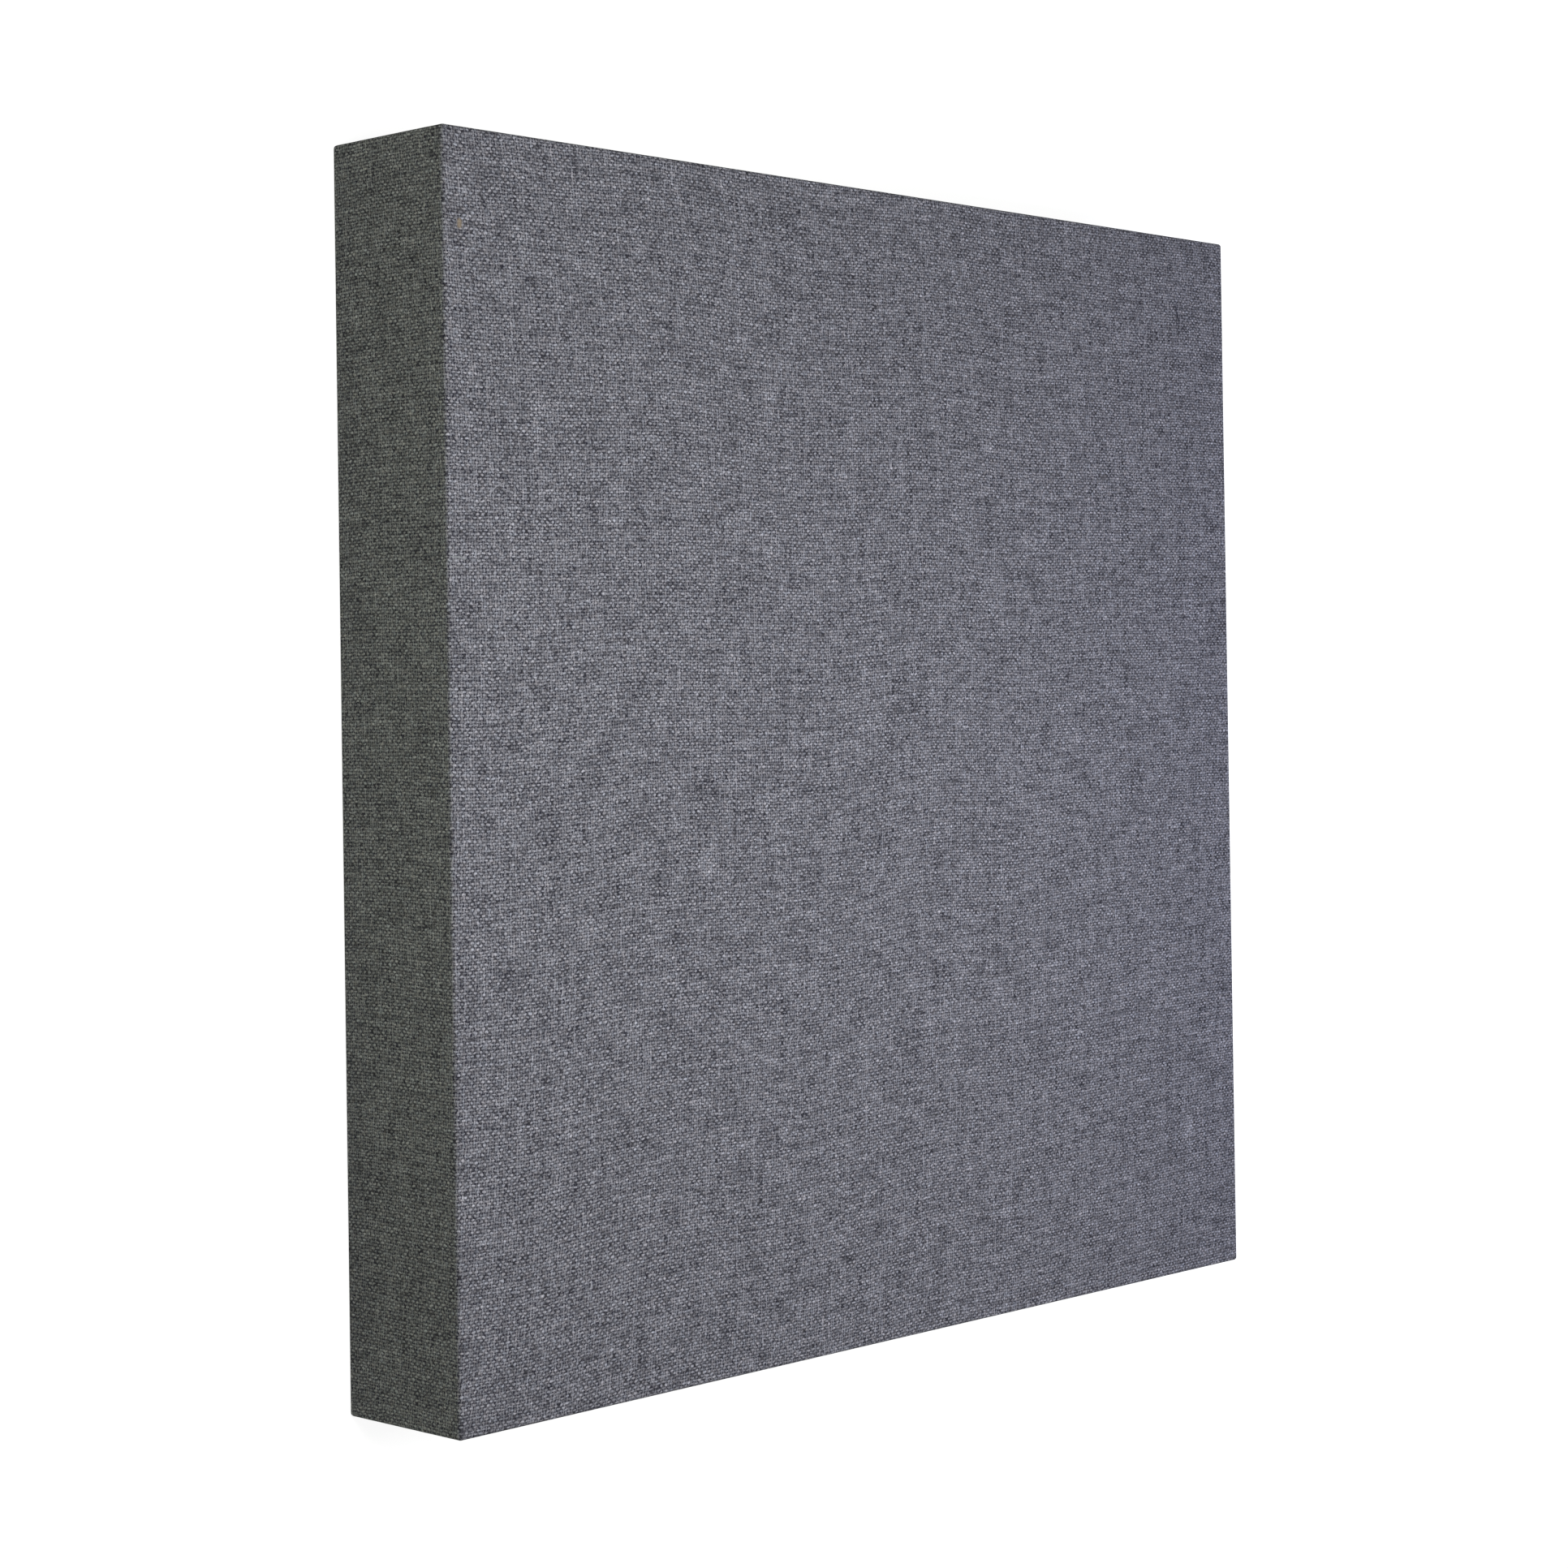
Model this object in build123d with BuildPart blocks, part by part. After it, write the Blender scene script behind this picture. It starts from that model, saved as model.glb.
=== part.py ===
from build123d import *
import os

os.makedirs("parts", exist_ok=True)

# Fabric acoustic wall panel: a rigid fibre board wrapped in one stretched cloth.
# The origin is the middle of the back, +Z points out of the front face,
# +Y points up the wall and +X to the viewer's right. All sizes in millimetres.

# Driving dimensions of the finished panel
panel_width = 600.0
panel_height = 600.0
panel_depth = 80.0

# Driving dimensions of the cloth
cloth_thickness = 1.0
return_width = 50.0       # cloth turned in over the back of the board
arris_radius = 2.0        # how far the board's edges are rounded under the cloth

# Driving dimensions of the corner folds
fold_setback = 4.0        # from the corner to the folded edge of the cloth
fold_end_margin = 4.0     # the fold line closes this far from the front and the back
fold_gap = 0.4            # open width of a fold line and of a mitre
mitre_end_margin = 8.0    # the mitre closes this far from the corner, along the diagonal

# The board fills the cloth, and the cloth leaves a window at the back
board_width = panel_width - 2 * cloth_thickness
board_height = panel_height - 2 * cloth_thickness
board_depth = panel_depth - 2 * cloth_thickness
window_width = panel_width - 2 * return_width
window_height = panel_height - 2 * return_width

# At a fold the lap and the cloth over it are pressed to one thickness, half each
fold_depth = cloth_thickness / 2

# Both diagonals start inside the window, so that each mitre opens into it
mitre_start = fold_gap
mitre_length = mitre_start + return_width * 2**0.5 - mitre_end_margin

# Core board: one rigid glass-fibre board with all its edges a little rounded
with BuildPart() as core_board:
    with BuildSketch(Plane.XY.offset(cloth_thickness)):
        Rectangle(board_width, board_height)
    extrude(amount=board_depth)
    fillet(core_board.edges(), radius=arris_radius)

core_board.part.label = "core_board"
export_step(core_board.part, "parts/core_board.step")

# Fabric cover: the cloth over the front, the four edges and a border of the back
with BuildPart() as fabric_cover:
    with BuildSketch(Plane.XY):
        Rectangle(panel_width, panel_height)
    extrude(amount=panel_depth)
    fillet(fabric_cover.edges(), radius=arris_radius + cloth_thickness)
    add(core_board.part, mode=Mode.SUBTRACT)

    # The cut edges of the cloth leave the middle of the board's back bare
    with BuildSketch(Plane.XY):
        Rectangle(window_width, window_height)
    extrude(amount=cloth_thickness, mode=Mode.SUBTRACT)

    # The turned-in borders meet in a mitre at each corner of the back
    with BuildSketch(Plane.XY):
        for side_x in (-1, 1):
            for side_y in (-1, 1):
                corner = Vector(side_x * window_width / 2, side_y * window_height / 2)
                outward = Vector(side_x, side_y).normalized()
                middle = corner + outward * (mitre_length / 2 - mitre_start)
                with Locations((middle.X, middle.Y)):
                    Rectangle(mitre_length, fold_gap, rotation=45 * side_x * side_y)
    extrude(amount=cloth_thickness, mode=Mode.SUBTRACT)

    # On the top and bottom edges the cloth is folded over a lap from round the corner
    for side_y in (-1, 1):
        edge_middle = (0, side_y * panel_height / 2, panel_depth / 2)
        with BuildSketch(Plane(edge_middle, x_dir=(1, 0, 0), z_dir=(0, side_y, 0))):
            with GridLocations(panel_width - 2 * fold_setback, 0, 2, 1):
                Rectangle(fold_gap, panel_depth - 2 * fold_end_margin)
        extrude(amount=-fold_depth, mode=Mode.SUBTRACT)

fabric_cover.part.label = "fabric_cover"
export_step(fabric_cover.part, "parts/fabric_cover.step")
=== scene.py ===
from math import acos, asin, atan2, copysign, cos, exp, pi, radians, sin, tanh

import bmesh
import bpy
from mathutils import Matrix, Vector, noise


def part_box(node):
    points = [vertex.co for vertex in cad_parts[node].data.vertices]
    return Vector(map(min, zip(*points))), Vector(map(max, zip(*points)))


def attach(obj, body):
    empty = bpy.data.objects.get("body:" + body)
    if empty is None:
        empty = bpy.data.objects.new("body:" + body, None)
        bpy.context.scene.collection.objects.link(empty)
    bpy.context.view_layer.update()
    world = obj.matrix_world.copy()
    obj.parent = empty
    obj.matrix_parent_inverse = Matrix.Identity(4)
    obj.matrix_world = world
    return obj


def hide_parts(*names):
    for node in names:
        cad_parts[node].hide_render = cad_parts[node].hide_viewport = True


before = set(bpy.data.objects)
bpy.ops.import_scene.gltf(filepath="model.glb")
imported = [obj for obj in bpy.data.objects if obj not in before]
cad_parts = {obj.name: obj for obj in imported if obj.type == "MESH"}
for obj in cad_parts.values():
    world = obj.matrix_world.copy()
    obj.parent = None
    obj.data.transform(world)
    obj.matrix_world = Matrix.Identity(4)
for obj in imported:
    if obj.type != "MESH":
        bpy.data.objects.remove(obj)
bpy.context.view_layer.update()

# Camera: before the panel, to its left and at the height of its middle. The panel is
# stored lying on its back, so the camera looks down at it, with its top edge uppermost.
camera_place = Vector((-1.2412, 0.0367, 1.1916))
camera_yaw = radians(46.253)
camera_pitch = radians(0.407)
camera_roll = radians(-0.837)
camera_sight = Vector((
    sin(camera_yaw) * cos(camera_pitch),
    sin(camera_pitch),
    -cos(camera_yaw) * cos(camera_pitch),
))
level_right = Vector((cos(camera_yaw), 0, sin(camera_yaw)))
level_up = level_right.cross(camera_sight)
camera_right = level_right * cos(camera_roll) + level_up * sin(camera_roll)
camera_up = level_up * cos(camera_roll) - level_right * sin(camera_roll)
camera_turn = Matrix((camera_right, camera_up, -camera_sight)).transposed().to_4x4()
camera_turn.translation = camera_place
camera_data = bpy.data.cameras.new("camera")
camera_data.sensor_width = 36
camera_data.lens = 73.11
camera_data.shift_y = -0.0707
camera = bpy.data.objects.new("camera", camera_data)
camera.matrix_world = camera_turn
bpy.context.scene.collection.objects.link(camera)
bpy.context.scene.camera = camera
bpy.context.scene.view_settings.view_transform = "Standard"

# Cloth cover: one woven polyester cloth of heathered grey yarn, stretched over the front
# and the four edges of the board, turned in over its back and stuck down. On the top and
# bottom edges it is folded over a lap from round the corner.
cloth_low, cloth_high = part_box("fabric_cover")
half_width = cloth_high.x
half_height = cloth_high.y
depth = cloth_high.z
edge_radius = 0.0018
return_width = 0.050      # cloth turned in over the back
cloth_thickness = 0.00095
mitre_opening = 0.0004    # how far a mitre gapes at the window
fold_setback = 0.004      # from the corner to the folded edge
fold_turn = 0.0003        # width of the folded edge itself
fold_rise = 0.0008        # how far the lap lifts the cloth over it
fold_crease = 0.0008      # how deep the cloth dips beside the folded edge
fold_slope = 0.003        # run over which the cloth climbs onto the lap
lap_start = 0.003         # the lap begins this far from the front and from the back
lap_full = 0.008          # and has its full height from here on
grid_step = 0.0125        # width of the mesh's faces
edge_strip = 0.0025       # from an edge to the cut beside it
touching = 1e-5           # points closer than this count as one place

cover = bmesh.new()
bmesh.ops.create_cube(cover, size=1)
bmesh.ops.scale(cover, vec=cloth_high - cloth_low, verts=cover.verts)
bmesh.ops.translate(cover, vec=(cloth_low + cloth_high) / 2, verts=cover.verts)
bmesh.ops.bevel(
    cover,
    geom=cover.edges[:],
    offset=edge_radius,
    segments=6,
    profile=0.5,
    affect="EDGES",
    material=-1,
)

# The border of the back is the turned-in cloth, and the middle is left bare
back = min(cover.faces, key=lambda face: face.calc_center_median().z)
bmesh.ops.inset_region(
    cover, faces=[back], thickness=return_width - edge_radius, use_even_offset=True
)
bmesh.ops.delete(cover, geom=[back], context="FACES")

# The borders meet in a cut mitre, which opens a little towards the window
mitres = []
for edge in cover.edges:
    start, end = (vert.co for vert in edge.verts)
    on_back = start.z < touching and end.z < touching
    if on_back and abs(abs(end.x - start.x) - abs(end.y - start.y)) < touching:
        mitres.append(edge)
bmesh.ops.split_edges(cover, edges=mitres)
for vert in cover.verts:
    if abs(vert.co.x) < half_width - return_width + touching and vert.co.z < touching:
        border = vert.link_faces[0].calc_center_median()
        on_side = 1 if abs(border.x) > abs(border.y) else -1
        vert.co.x += on_side * copysign(mitre_opening / 2, vert.co.x)
        vert.co.y -= on_side * copysign(mitre_opening / 2, vert.co.y)


def cut_cloth(place, facing):
    """Cuts the cloth's mesh along a plane, so that it can bend there."""
    bmesh.ops.bisect_plane(
        cover,
        geom=cover.verts[:] + cover.edges[:] + cover.faces[:],
        dist=touching,
        plane_co=place,
        plane_no=facing,
    )


steps_out = round(half_width / grid_step)
for step in range(1 - steps_out, steps_out):
    cut_cloth((step * grid_step, 0, 0), (1, 0, 0))
    cut_cloth((0, step * grid_step, 0), (0, 1, 0))
steps_up = round((depth - 2 * edge_strip) / grid_step)
for step in range(steps_up + 1):
    cut_cloth((0, 0, edge_strip + step * grid_step), (0, 0, 1))
for side in (-1, 1):
    for inset in (fold_setback + 2 * fold_turn, edge_strip):
        cut_cloth((side * (half_width - inset), 0, 0), (1, 0, 0))
        cut_cloth((0, side * (half_height - inset), 0), (0, 1, 0))
    for inset in (fold_setback, fold_setback + fold_turn):
        cut_cloth((side * (half_width - inset), 0, 0), (1, 0, 0))
    for lap_edge in (0, fold_slope):
        cut_cloth((side * (half_width - lap_edge), 0, depth), (side, 0, -1))
bmesh.ops.dissolve_degenerate(cover, dist=2 * touching, edges=cover.edges[:])


def run_from_middle(out, height):
    """How far over the cloth a point lies from the middle of the front."""
    flat = half_width - edge_radius
    if height > depth - touching:
        return out
    if height > depth - edge_radius:
        return flat + edge_radius * acos((height - depth + edge_radius) / edge_radius)
    run = flat + edge_radius * pi / 2
    if height > edge_radius:
        return run + depth - edge_radius - height
    run += depth - 2 * edge_radius
    if height > touching:
        return run + edge_radius * asin((edge_radius - height) / edge_radius)
    return run + edge_radius * pi / 2 + flat - out


def wrap_of(middle):
    """Which part of the cloth a face belongs to: its front, its sides or its ends."""
    if middle.z > depth - touching:
        return "front"
    if middle.z < touching:
        return "side" if abs(middle.x) > abs(middle.y) else "end"
    return "side" if abs(middle.x) > half_width - fold_setback else "end"


def unwrapped(place, wrap):
    """Where a point of the cover lies on the flat cloth, from the middle of the front."""
    x, y, z = place
    if wrap == "front":
        return x, y
    if wrap == "end":
        return x, copysign(run_from_middle(abs(y), z), y)
    along = copysign(run_from_middle(abs(x), z), x)
    past_corner = abs(y) - half_height + edge_radius
    past_side = abs(x) - half_width + edge_radius
    if past_corner <= 0 or z < touching:
        return along, y
    if past_side >= 0:
        turn = edge_radius * atan2(past_corner, past_side)
    else:
        turn = edge_radius * pi / 2 - past_side
    return along, copysign(half_height - edge_radius + turn, y)


def eased(value, start, end):
    """Rises smoothly from 0 at start to 1 at end."""
    share = min(1, max(0, (value - start) / (end - start)))
    return share * share * (3 - 2 * share)


# The cloth was pulled a little askew as it was stuck down. These lengths are in
# millimetres, and the places are counted from the top left corner of the front.
millimetre = 0.001
bow_depth = 6.8           # the upright threads bend left towards the top and the bottom
corner_bow_depth = 6.5    # and further at the two left corners
corner_bow_reach = 250
bow_limit = 1.25          # counted in half heights, from where the bow stays the same
kink_depth = 0.7          # they step aside a little in the upper half
kink_place = 184
kink_reach = 25
thread_slope = -0.0157    # the level threads climb to the right
wave_depth = 1.2          # wave, except on the right
wave_place = 185
wave_length = 200
wave_fade_start = 380
wave_fade_end = 470
spread_depth = 1.3        # and are spread apart beside the left edge
spread_place = 44
spread_reach = 28
spread_growth = 1.2
drift_depth = 0.8         # both kinds drift by chance


def drifted(across, down, length, layer):
    """How far the threads have drifted by chance at a place, in millimetres."""
    return drift_depth * noise.noise(Vector((across / length, down / length, layer)))


def among_threads(along, up):
    """The same place counted along the threads of the cloth."""
    across = (along + half_width) / millimetre
    down = (half_height - up) / millimetre
    level = min(bow_limit, max(-bow_limit, -up / half_height))
    bow = bow_depth * level**2
    corner_bow = corner_bow_depth * (1 - eased(across, 0, corner_bow_reach)) * level**4
    kink = kink_depth * tanh((down - kink_place) / kink_reach)
    wave = wave_depth * sin(2 * pi * (across - wave_place) / wave_length)
    wave *= 1 - eased(across, wave_fade_start, wave_fade_end)
    spread = spread_depth * min(1, max(-1, level * spread_growth))
    spread *= exp(-(((across - spread_place) / spread_reach) ** 2))
    slope = thread_slope * across
    shift_right = bow + corner_bow + kink + drifted(across, down, length=70, layer=3)
    shift_up = wave + spread + slope + drifted(across, down, length=60, layer=17)
    return along + shift_right * millimetre, up + shift_up * millimetre


# Each point of the cover knows its place on the flat cloth, so that the weave runs on
# unbroken round the edges
thread_map = cover.loops.layers.uv.new("thread_map")
for face in cover.faces:
    wrap = wrap_of(face.calc_center_median())
    for corner in face.loops:
        corner[thread_map].uv = among_threads(*unwrapped(corner.vert.co, wrap))

# The lap under a fold is a triangle, and it lifts the cloth over it a little
for vert in cover.verts:
    on_end = abs(vert.co.y) > half_height - touching
    if on_end and edge_radius + touching < vert.co.z < depth - edge_radius - touching:
        from_corner = half_width - abs(vert.co.x)
        from_front = depth - vert.co.z
        past_fold = from_corner - fold_setback
        lap_share = eased(from_front, lap_start, lap_full)
        lap_share *= eased(vert.co.z, lap_start, lap_full)
        if past_fold > fold_turn / 2:
            rise = fold_rise * eased(from_front - from_corner, -fold_slope, 0) * lap_share
        elif past_fold > -fold_turn / 2:
            rise = -fold_crease * lap_share
        else:
            rise = 0
        vert.co.y += rise * copysign(1, vert.co.y)

for face in cover.faces:
    face.smooth = True
bmesh.ops.recalc_face_normals(cover, faces=cover.faces)
cover_mesh = bpy.data.meshes.new("cloth_cover")
cover.to_mesh(cover_mesh)
cover.free()
cloth_cover = bpy.data.objects.new("cloth_cover", cover_mesh)
bpy.context.scene.collection.objects.link(cloth_cover)
cloth_solid = cloth_cover.modifiers.new("thickness", "SOLIDIFY")
cloth_solid.thickness = cloth_thickness
cloth_solid.offset = -1
cloth_solid.use_even_offset = True


def finish_node(finish, kind, inputs=None, **settings):
    """Adds a node to a material, with its inputs set or linked."""
    new = finish.node_tree.nodes.new(kind)
    for name, value in settings.items():
        setattr(new, name, value)
    for name, value in (inputs or {}).items():
        if isinstance(value, bpy.types.NodeSocket):
            finish.node_tree.links.new(value, new.inputs[name])
        else:
            new.inputs[name].default_value = value
    return new


def number_from(finish, operation, *values):
    """One step of arithmetic in a material."""
    return finish_node(
        finish, "ShaderNodeMath", dict(enumerate(values)), operation=operation
    ).outputs[0]


def place_of(finish, x, y, z=0.0):
    """Three numbers of a material as one place."""
    return finish_node(
        finish, "ShaderNodeCombineXYZ", {"X": x, "Y": y, "Z": z}
    ).outputs[0]


def cloudy(finish, place, scale, detail=2.0, roughness=0.5):
    """Smooth random tone from 0 to 1."""
    return finish_node(
        finish,
        "ShaderNodeTexNoise",
        {"Vector": place, "Scale": scale, "Detail": detail, "Roughness": roughness},
    ).outputs[0]


def rescaled(finish, value, low, high, start=0.0, end=1.0, course="LINEAR"):
    """A number carried over from one range to another, and held inside it."""
    return finish_node(
        finish,
        "ShaderNodeMapRange",
        {"Value": value, "From Min": low, "From Max": high, "To Min": start, "To Max": end},
        interpolation_type=course,
    ).outputs[0]


def number_between(finish, share, first, second):
    """A number between two others, which a Mix node takes at its sockets 2 and 3."""
    return finish_node(
        finish, "ShaderNodeMix", {"Factor": share, 2: first, 3: second}
    ).outputs[0]


def colour_between(finish, share, first, second):
    """A colour between two others, which a Mix node takes at its sockets 6 and 7."""
    return finish_node(
        finish, "ShaderNodeMix", {"Factor": share, 6: first, 7: second}, data_type="RGBA"
    ).outputs[2]


cloth = bpy.data.materials.new("heathered_grey_cloth")
cloth.use_nodes = True
cloth_shader = cloth.node_tree.nodes["Principled BSDF"]
weft_pitch = 0.00151
warp_pitch = 0.00166
yarn_apart = 7.31         # how far apart neighbouring yarns are in a random tone
yarn_roundness = 1.4
crossing_softness = 0.1
darkest_tone = 0.15
mark_strength = 0.9
mark_softness = 0.5
warm_yarn = (0.290, 0.276, 0.305, 1)
cool_yarn = (0.265, 0.273, 0.322, 1)
# colour painted into the gaps between the yarns as their shade
gap_shade_colour = (0.017, 0.0165, 0.030, 1)

cloth_place = finish_node(cloth, "ShaderNodeUVMap", uv_map="thread_map").outputs[0]
cloth_parts = finish_node(cloth, "ShaderNodeSeparateXYZ", {"Vector": cloth_place})
cloth_along = cloth_parts.outputs["X"]
cloth_up = cloth_parts.outputs["Y"]


def cloth_number(operation, *values):
    """One step of arithmetic in the cloth's material."""
    return number_from(cloth, operation, *values)


def yarn_tone(run, number, per_metre, layer, detail=1.0, roughness=0.5):
    """Random tone from 0 to 1 that drifts along each yarn and differs from yarn to yarn."""
    place = place_of(
        cloth,
        cloth_number("MULTIPLY", run, per_metre),
        cloth_number("MULTIPLY", number, yarn_apart),
        layer,
    )
    return cloudy(cloth, place, 1.0, detail, roughness)


def drawn_tone(along_scale, up_scale, layer, detail=1.0, roughness=0.5):
    """Random tone from 0 to 1 over the cloth, drawn out along one way of it."""
    place = place_of(
        cloth,
        cloth_number("MULTIPLY", cloth_along, along_scale),
        cloth_number("MULTIPLY", cloth_up, up_scale),
        layer,
    )
    return cloudy(cloth, place, 1.0, detail, roughness)


def varied(middle, tone, amount):
    """A value that varies about its middle with a random tone."""
    return cloth_number("MULTIPLY_ADD", cloth_number("SUBTRACT", tone, 0.5), amount, middle)


# The yarns lie uneven: together they wander, and each strays a little from its neighbours
warp_count = varied(
    cloth_number("MULTIPLY", cloth_along, 1 / warp_pitch),
    drawn_tone(along_scale=400.0, up_scale=220.0, layer=0.0, detail=2.0, roughness=0.6),
    amount=1.4,
)
weft_count = varied(
    cloth_number("MULTIPLY", cloth_up, 1 / weft_pitch),
    drawn_tone(along_scale=220.0, up_scale=400.0, layer=9.0, detail=2.0, roughness=0.6),
    amount=1.2,
)
warp_number = cloth_number("ROUND", warp_count)
weft_number = cloth_number("ROUND", weft_count)
warp_offset = varied(
    cloth_number("SUBTRACT", warp_count, warp_number),
    yarn_tone(cloth_up, warp_number, per_metre=250.0, layer=5.0),
    amount=0.7,
)
weft_offset = varied(
    cloth_number("SUBTRACT", weft_count, weft_number),
    yarn_tone(cloth_along, weft_number, per_metre=250.0, layer=6.0),
    amount=0.7,
)

# Plain weave: each yarn goes over one and under the next
warp_sign = cloth_number("COSINE", cloth_number("MULTIPLY", warp_number, pi))
weft_sign = cloth_number("COSINE", cloth_number("MULTIPLY", weft_number, pi))
warp_wave = cloth_number("COSINE", cloth_number("MULTIPLY", weft_count, pi))
weft_wave = cloth_number("COSINE", cloth_number("MULTIPLY", warp_count, pi))


def yarn_height(offset, half_yarn, sign, wave, swing, lift, top):
    """Height of a yarn's top in yarn radii: round across, and waving over and under."""
    from_middle = cloth_number("ABSOLUTE", cloth_number("DIVIDE", offset, half_yarn))
    rounded = cloth_number("SUBTRACT", 1.0, cloth_number("POWER", from_middle, yarn_roundness))
    crimp = cloth_number("MULTIPLY_ADD", cloth_number("MULTIPLY", sign, wave), swing, lift)
    return cloth_number("ADD", rounded, cloth_number("MINIMUM", crimp, top))


# The yarns are slubby, thick in some places and thin in others
weft_half = varied(
    0.38, yarn_tone(cloth_along, weft_number, per_metre=160.0, layer=7.0), amount=0.36
)
warp_half = varied(
    0.32, yarn_tone(cloth_up, warp_number, per_metre=160.0, layer=8.0), amount=0.32
)
weft_height = yarn_height(
    weft_offset, weft_half, weft_sign, weft_wave, swing=1.4, lift=0.33, top=0.68
)
warp_height = yarn_height(
    warp_offset, warp_half, warp_sign, warp_wave, swing=-1.1, lift=0.42, top=0.65
)
cloth_height = cloth_number("SMOOTH_MAX", weft_height, warp_height, crossing_softness)
weft_on_top = rescaled(
    cloth,
    cloth_number("SUBTRACT", weft_height, warp_height),
    low=-0.12,
    high=0.12,
    course="SMOOTHSTEP",
)

# Heather: light and dark fibres drift along each yarn, and differ from yarn to yarn. The
# weft is the lighter of the two, and patches and streaks of tone run over both.
weft_light = varied(
    1.365,
    yarn_tone(cloth_along, weft_number, per_metre=110.0, layer=2.0, detail=3.0, roughness=0.85),
    amount=3.9,
)
warp_light = varied(
    0.88,
    yarn_tone(cloth_up, warp_number, per_metre=110.0, layer=21.0, detail=3.0, roughness=0.85),
    amount=3.9,
)
warp_light = varied(
    warp_light, yarn_tone(cloth_up, warp_number, per_metre=28.0, layer=63.0), amount=1.0
)
tone = number_between(cloth, weft_on_top, warp_light, weft_light)
tone = varied(tone, cloudy(cloth, cloth_place, scale=420.0, detail=1.0), amount=1.2)
tone = varied(tone, drawn_tone(along_scale=40.0, up_scale=330.0, layer=81.0), amount=1.0)
tone = varied(tone, drawn_tone(along_scale=130.0, up_scale=30.0, layer=87.0), amount=0.45)
tone = varied(
    tone, cloudy(cloth, cloth_place, scale=60.0, detail=3.0, roughness=0.6), amount=0.5
)
tone = cloth_number("MAXIMUM", tone, darkest_tone)

# Painted shade: the gaps between the yarns and the rounded sides of each yarn are painted
# darker, down to a dark gap colour, where the weave's relief would lie in shade. Fuzz on the
# yarns blurs their edges.
fuzzy_height = varied(
    cloth_height, cloudy(cloth, cloth_place, scale=800.0, detail=1.0), amount=2.0
)
shade = rescaled(cloth, fuzzy_height, low=0.2, high=1.75)
yarn_hue = rescaled(
    cloth,
    cloudy(cloth, cloth_place, scale=330.0, detail=2.0, roughness=0.6),
    low=0.3,
    high=0.7,
)
yarn_colour = colour_between(cloth, yarn_hue, warm_yarn, cool_yarn)
lit_yarn = finish_node(
    cloth, "ShaderNodeVectorMath", {0: yarn_colour, 1: place_of(cloth, tone, tone, tone)},
    operation="MULTIPLY",
).outputs[0]
# Painted shade: the lower a spot of the weave lies, the nearer its colour comes to the dark gap
# colour
cloth_colour = colour_between(cloth, shade, gap_shade_colour, lit_yarn)

panel_place = finish_node(cloth, "ShaderNodeTexCoord").outputs["Object"]


def stroke_over(colour, ink, reach, start, end):
    """Lays a short fine mark over the cloth's colour, from one point of the front to another."""
    start = Vector((*start, depth))
    run = Vector((*end, depth)) - start
    away = finish_node(
        cloth, "ShaderNodeVectorMath", {0: panel_place, 1: start}, operation="SUBTRACT"
    ).outputs[0]
    share = finish_node(
        cloth, "ShaderNodeVectorMath", {0: away, 1: run / run.length_squared},
        operation="DOT_PRODUCT",
    ).outputs["Value"]
    nearest = finish_node(
        cloth, "ShaderNodeVectorMath",
        {0: run, "Scale": finish_node(cloth, "ShaderNodeClamp", {"Value": share}).outputs[0]},
        operation="SCALE",
    ).outputs[0]
    distance = finish_node(
        cloth, "ShaderNodeVectorMath", {0: away, 1: nearest}, operation="DISTANCE"
    ).outputs["Value"]
    strength = rescaled(
        cloth,
        distance,
        low=reach * (1 - mark_softness),
        high=reach * (1 + mark_softness),
        start=mark_strength,
        end=0.0,
    )
    return colour_between(cloth, strength, colour, (*ink, 1))


# A tan speck, three pale fibres of lint and a dark snag, all on the front
for ink, reach, line in (
    ((0.30, 0.24, 0.185), 0.0013, ((-0.2903, 0.2560), (-0.2903, 0.2542))),
    ((0.33, 0.33, 0.38), 0.0003,
     ((-0.2747, 0.1310), (-0.2727, 0.1333), (-0.2697, 0.1357), (-0.2650, 0.1371))),
    ((0.30, 0.30, 0.35), 0.0003, ((-0.2658, 0.1343), (-0.2600, 0.1330))),
    ((0.30, 0.31, 0.34), 0.0003, ((-0.2977, 0.1024), (-0.2929, 0.1021), (-0.2895, 0.1014))),
    ((0.03, 0.03, 0.045), 0.0007, ((0.2537, 0.2591), (0.2551, 0.2535), (0.2566, 0.2517))),
):
    for start, end in zip(line, line[1:]):
        cloth_colour = stroke_over(cloth_colour, ink, reach, start, end)

cloth_bump = finish_node(
    cloth,
    "ShaderNodeBump",
    {"Strength": 1.0, "Distance": 0.00016, "Height": cloth_height},
)
cloth.node_tree.links.new(cloth_colour, cloth_shader.inputs["Base Color"])
cloth.node_tree.links.new(cloth_bump.outputs[0], cloth_shader.inputs["Normal"])
cloth_shader.inputs["Roughness"].default_value = 0.92
cloth_shader.inputs["Specular IOR Level"].default_value = 0.2
cover_mesh.materials.append(cloth)
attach(cloth_cover, "root")
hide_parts("fabric_cover")

# Core board: a rigid board of straw-yellow matted glass fibre, pressed with a resin and
# cut to size. Only the middle of its back shows, inside the turned-in cloth.
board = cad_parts["core_board"]
fibre = bpy.data.materials.new("matted_glass_fibre")
fibre.use_nodes = True
fibre_shader = fibre.node_tree.nodes["Principled BSDF"]
dark_fibre = (0.36, 0.26, 0.08, 1)
light_fibre = (0.66, 0.54, 0.23, 1)
strand_stretch = (130.0, 1500.0, 1500.0)
tuft_share = 0.35
strand_share = 0.65
strand_relief = 0.6

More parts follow.
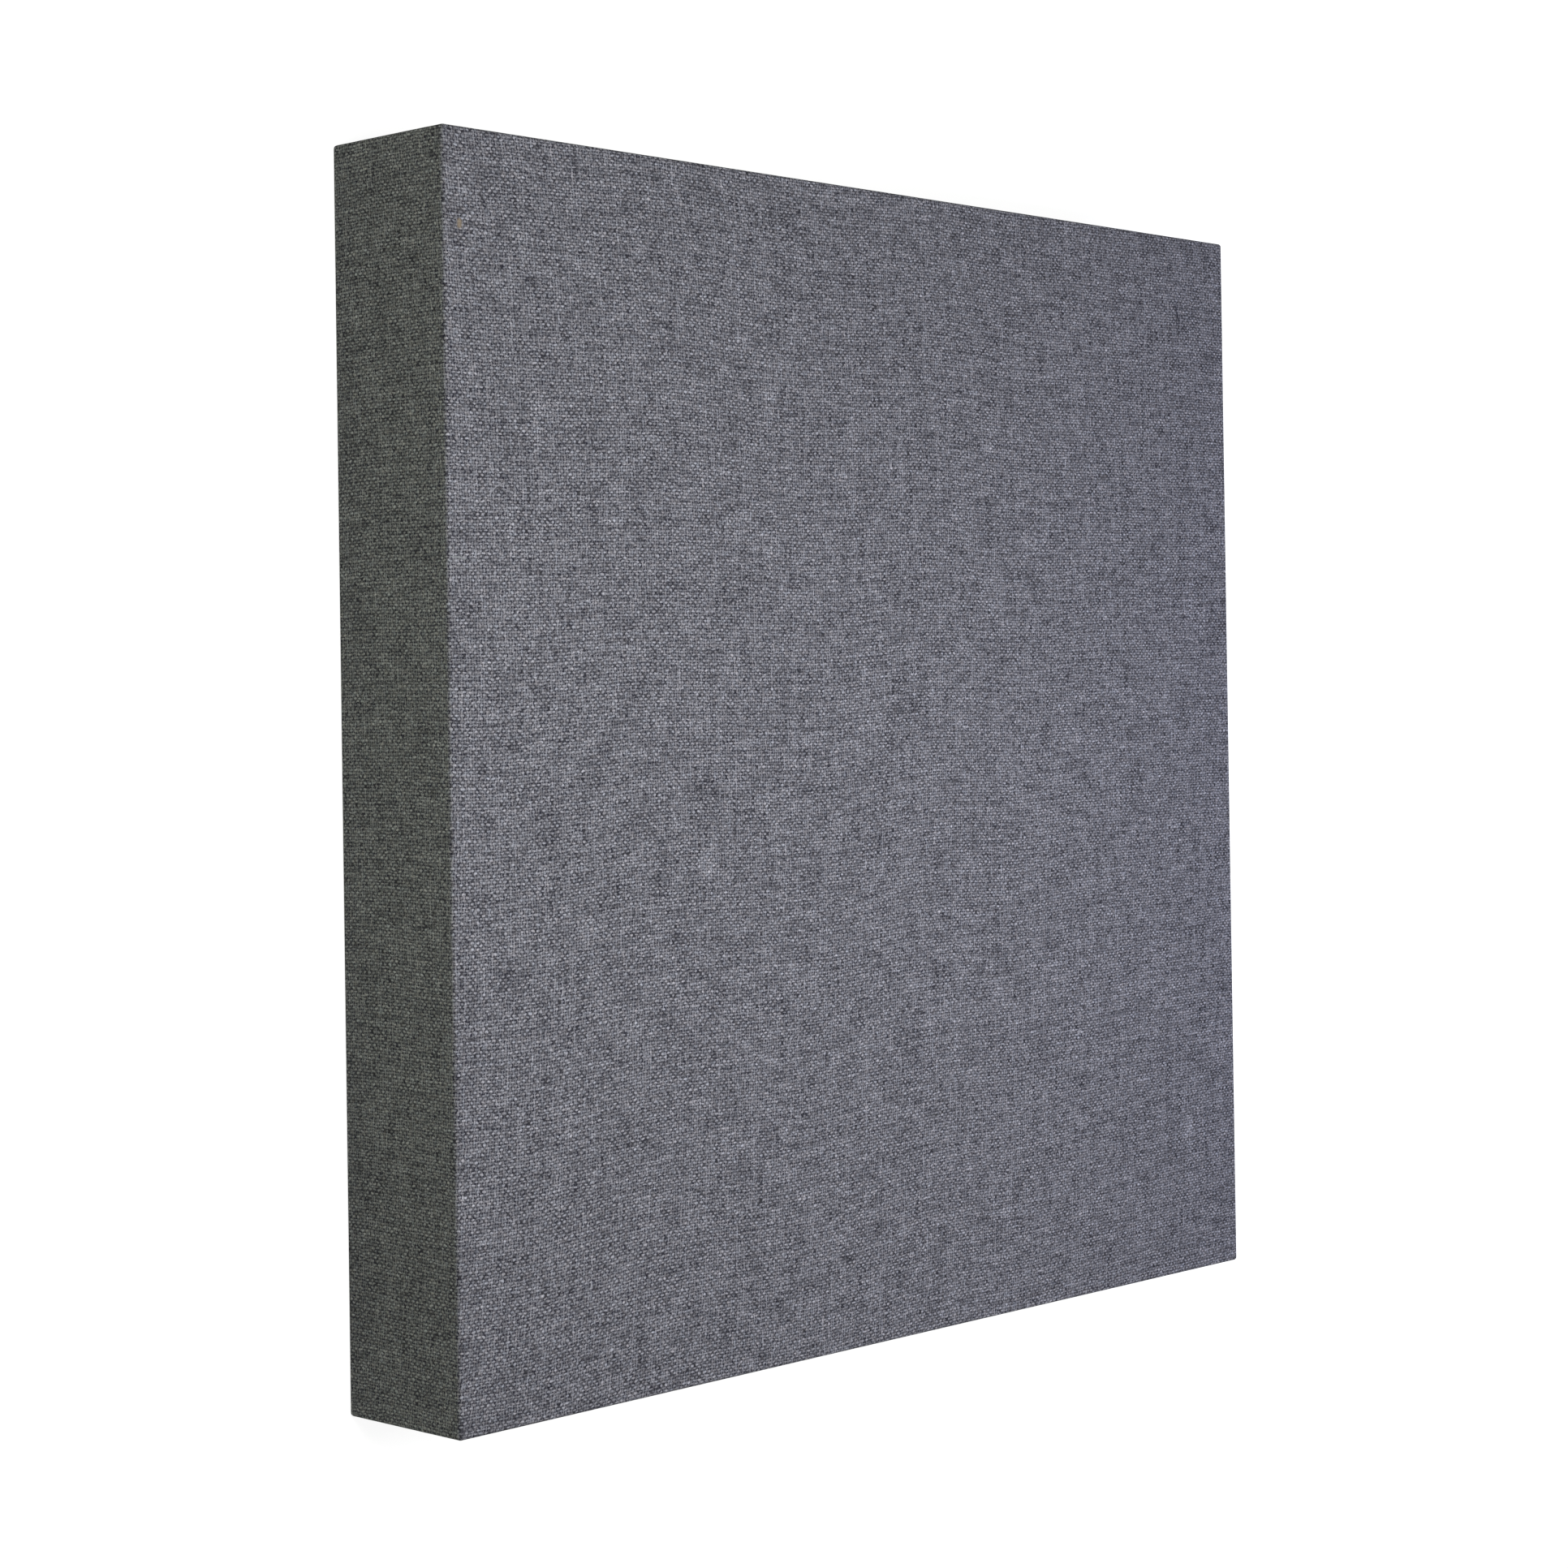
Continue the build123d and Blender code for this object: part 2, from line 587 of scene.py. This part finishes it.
fibre_place = finish_node(fibre, "ShaderNodeTexCoord").outputs["Object"]
fibre_tufts = cloudy(fibre, fibre_place, scale=45.0, detail=5.0, roughness=0.6)
fibre_strands = 0.0
for turn in (0.25, 1.3, 2.35):
    strand_lie = finish_node(
        fibre,
        "ShaderNodeMapping",
        {"Vector": fibre_place, "Rotation": (0, 0, turn), "Scale": strand_stretch},
    ).outputs[0]
    strand = cloudy(fibre, strand_lie, scale=1.0, detail=3.0, roughness=0.6)
    fibre_strands = number_from(fibre, "MAXIMUM", fibre_strands, strand)
strand_tone = number_from(fibre, "MULTIPLY", fibre_strands, strand_share)
fibre_tone = number_from(fibre, "MULTIPLY_ADD", fibre_tufts, tuft_share, strand_tone)
fibre_colour = finish_node(fibre, "ShaderNodeValToRGB", {"Fac": fibre_tone})
fibre_colour.color_ramp.elements[0].position = 0.42
fibre_colour.color_ramp.elements[0].color = dark_fibre
fibre_colour.color_ramp.elements[1].position = 0.68
fibre_colour.color_ramp.elements[1].color = light_fibre
fibre_relief = number_from(fibre, "MULTIPLY_ADD", fibre_strands, strand_relief, fibre_tufts)
fibre_bump = finish_node(
    fibre, "ShaderNodeBump", {"Strength": 0.8, "Distance": 0.001, "Height": fibre_relief}
)
fibre.node_tree.links.new(fibre_colour.outputs[0], fibre_shader.inputs["Base Color"])
fibre.node_tree.links.new(fibre_bump.outputs[0], fibre_shader.inputs["Normal"])
fibre_shader.inputs["Roughness"].default_value = 0.9
fibre_shader.inputs["Specular IOR Level"].default_value = 0.2
board.data.materials.clear()
board.data.materials.append(fibre)

# Floor: a plain pale floor that the panel lies on. It shows as white and keeps the
# panel's faint shadow.
floor_half_width = 8
floor_cast = (0.50, 0.56, 0.31, 1)
floor_shown = (0.60, 0.60, 0.60, 1)
floor_glow = 0.84


def seen_straight(finish):
    """1 for what the camera sees, also mirrored or through glass, and 0 for cast light."""
    rays = finish_node(finish, "ShaderNodeLightPath").outputs
    mirrored = number_from(
        finish, "MAXIMUM", rays["Is Glossy Ray"], rays["Is Transmission Ray"]
    )
    return number_from(finish, "MAXIMUM", rays["Is Camera Ray"], mirrored)


floor_shape = bmesh.new()
bmesh.ops.create_grid(floor_shape, x_segments=1, y_segments=1, size=floor_half_width)
floor_mesh = bpy.data.meshes.new("floor")
floor_shape.to_mesh(floor_mesh)
floor_shape.free()
floor = bpy.data.objects.new("floor", floor_mesh)
bpy.context.scene.collection.objects.link(floor)
floor_paint = bpy.data.materials.new("pale_floor")
floor_paint.use_nodes = True
floor_paint.node_tree.nodes.clear()
floor_seen = seen_straight(floor_paint)
floor_tint = colour_between(floor_paint, floor_seen, floor_cast, floor_shown)
floor_matt = finish_node(floor_paint, "ShaderNodeBsdfDiffuse", {"Color": floor_tint})
floor_light = finish_node(
    floor_paint,
    "ShaderNodeEmission",
    {"Color": (1, 1, 1, 1),
     "Strength": number_from(floor_paint, "MULTIPLY", floor_seen, floor_glow)},
)
floor_sum = finish_node(
    floor_paint, "ShaderNodeAddShader", {0: floor_matt.outputs[0], 1: floor_light.outputs[0]}
)
finish_node(floor_paint, "ShaderNodeOutputMaterial", {"Surface": floor_sum.outputs[0]})
floor_mesh.materials.append(floor_paint)

# World: a plain pale room that shows as white and gives an even, weak light
room_cast = (0.26, 0.26, 0.26, 1)
room_shown = (1, 1, 1, 1)

room = bpy.data.worlds.new("room")
bpy.context.scene.world = room
room.use_nodes = True
room.node_tree.nodes.clear()
room_colour = colour_between(room, seen_straight(room), room_cast, room_shown)
room_light = finish_node(room, "ShaderNodeBackground", {"Color": room_colour})
finish_node(room, "ShaderNodeOutputWorld", {"Surface": room_light.outputs[0]})

# Lights: three soft square lamps above the panel's front, the right-hand one weak and bluish
lamp_width = 0.3

for name, place, power, tint in (
    ("left_lamp", (-0.52, 0.12, 0.75), 2.52, (0.97, 1.0, 0.90)),
    ("middle_lamp", (0.08, -0.06, 0.75), 2.43, (0.99, 1.0, 0.95)),
    ("right_lamp", (0.60, -0.05, 0.75), 1.02, (0.26, 0.35, 1.0)),
):
    lamp_light = bpy.data.lights.new(name, "AREA")
    lamp_light.size = lamp_width
    lamp_light.energy = power
    lamp_light.color = tint
    lamp = bpy.data.objects.new(name, lamp_light)
    lamp.location = place
    lamp.visible_camera = False
    bpy.context.scene.collection.objects.link(lamp)
